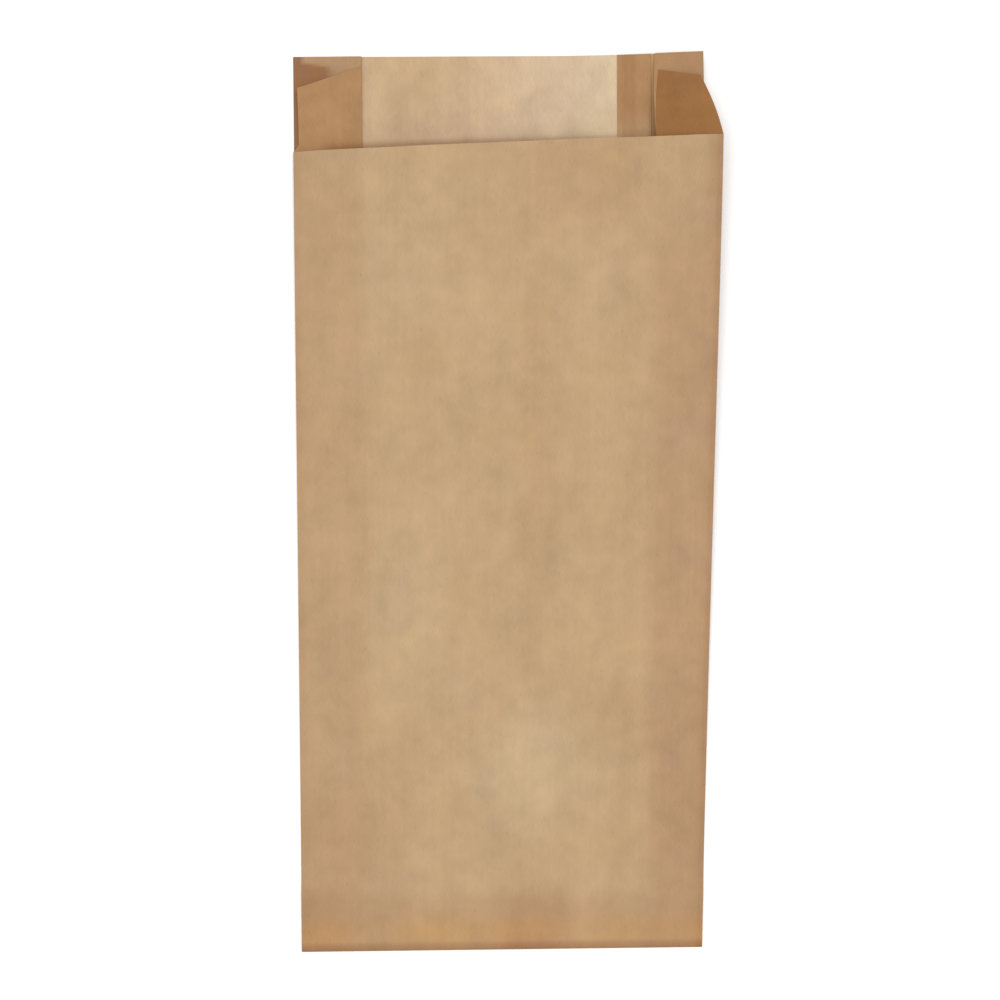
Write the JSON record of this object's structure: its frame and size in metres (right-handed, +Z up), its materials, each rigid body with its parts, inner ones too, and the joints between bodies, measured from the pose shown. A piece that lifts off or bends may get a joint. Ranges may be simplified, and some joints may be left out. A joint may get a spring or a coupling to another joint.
{
  "type": "brown paper lunch bag",
  "caption": "Flat kraft paper lunch bag with tucked side gussets, a folded and glued bottom, a longer back panel that forms a lip, and a mouth that gapes at its right corner.",
  "frame": {"origin": "on the table, at the middle of the lying bag's footprint", "axes": "+X to the right of the front panel, +Y from the bottom fold towards the mouth, +Z up off the table through the front panel"},
  "size_m": [0.134, 0.2876, 0.0168],
  "materials": {
    "kraft_paper": "unbleached machine-glazed kraft, matt with a slight sheen, thin enough to let a little light through"
  },
  "bodies": {
    "root": {"paper_bag": "kraft_paper"}
  },
  "joints": []
}
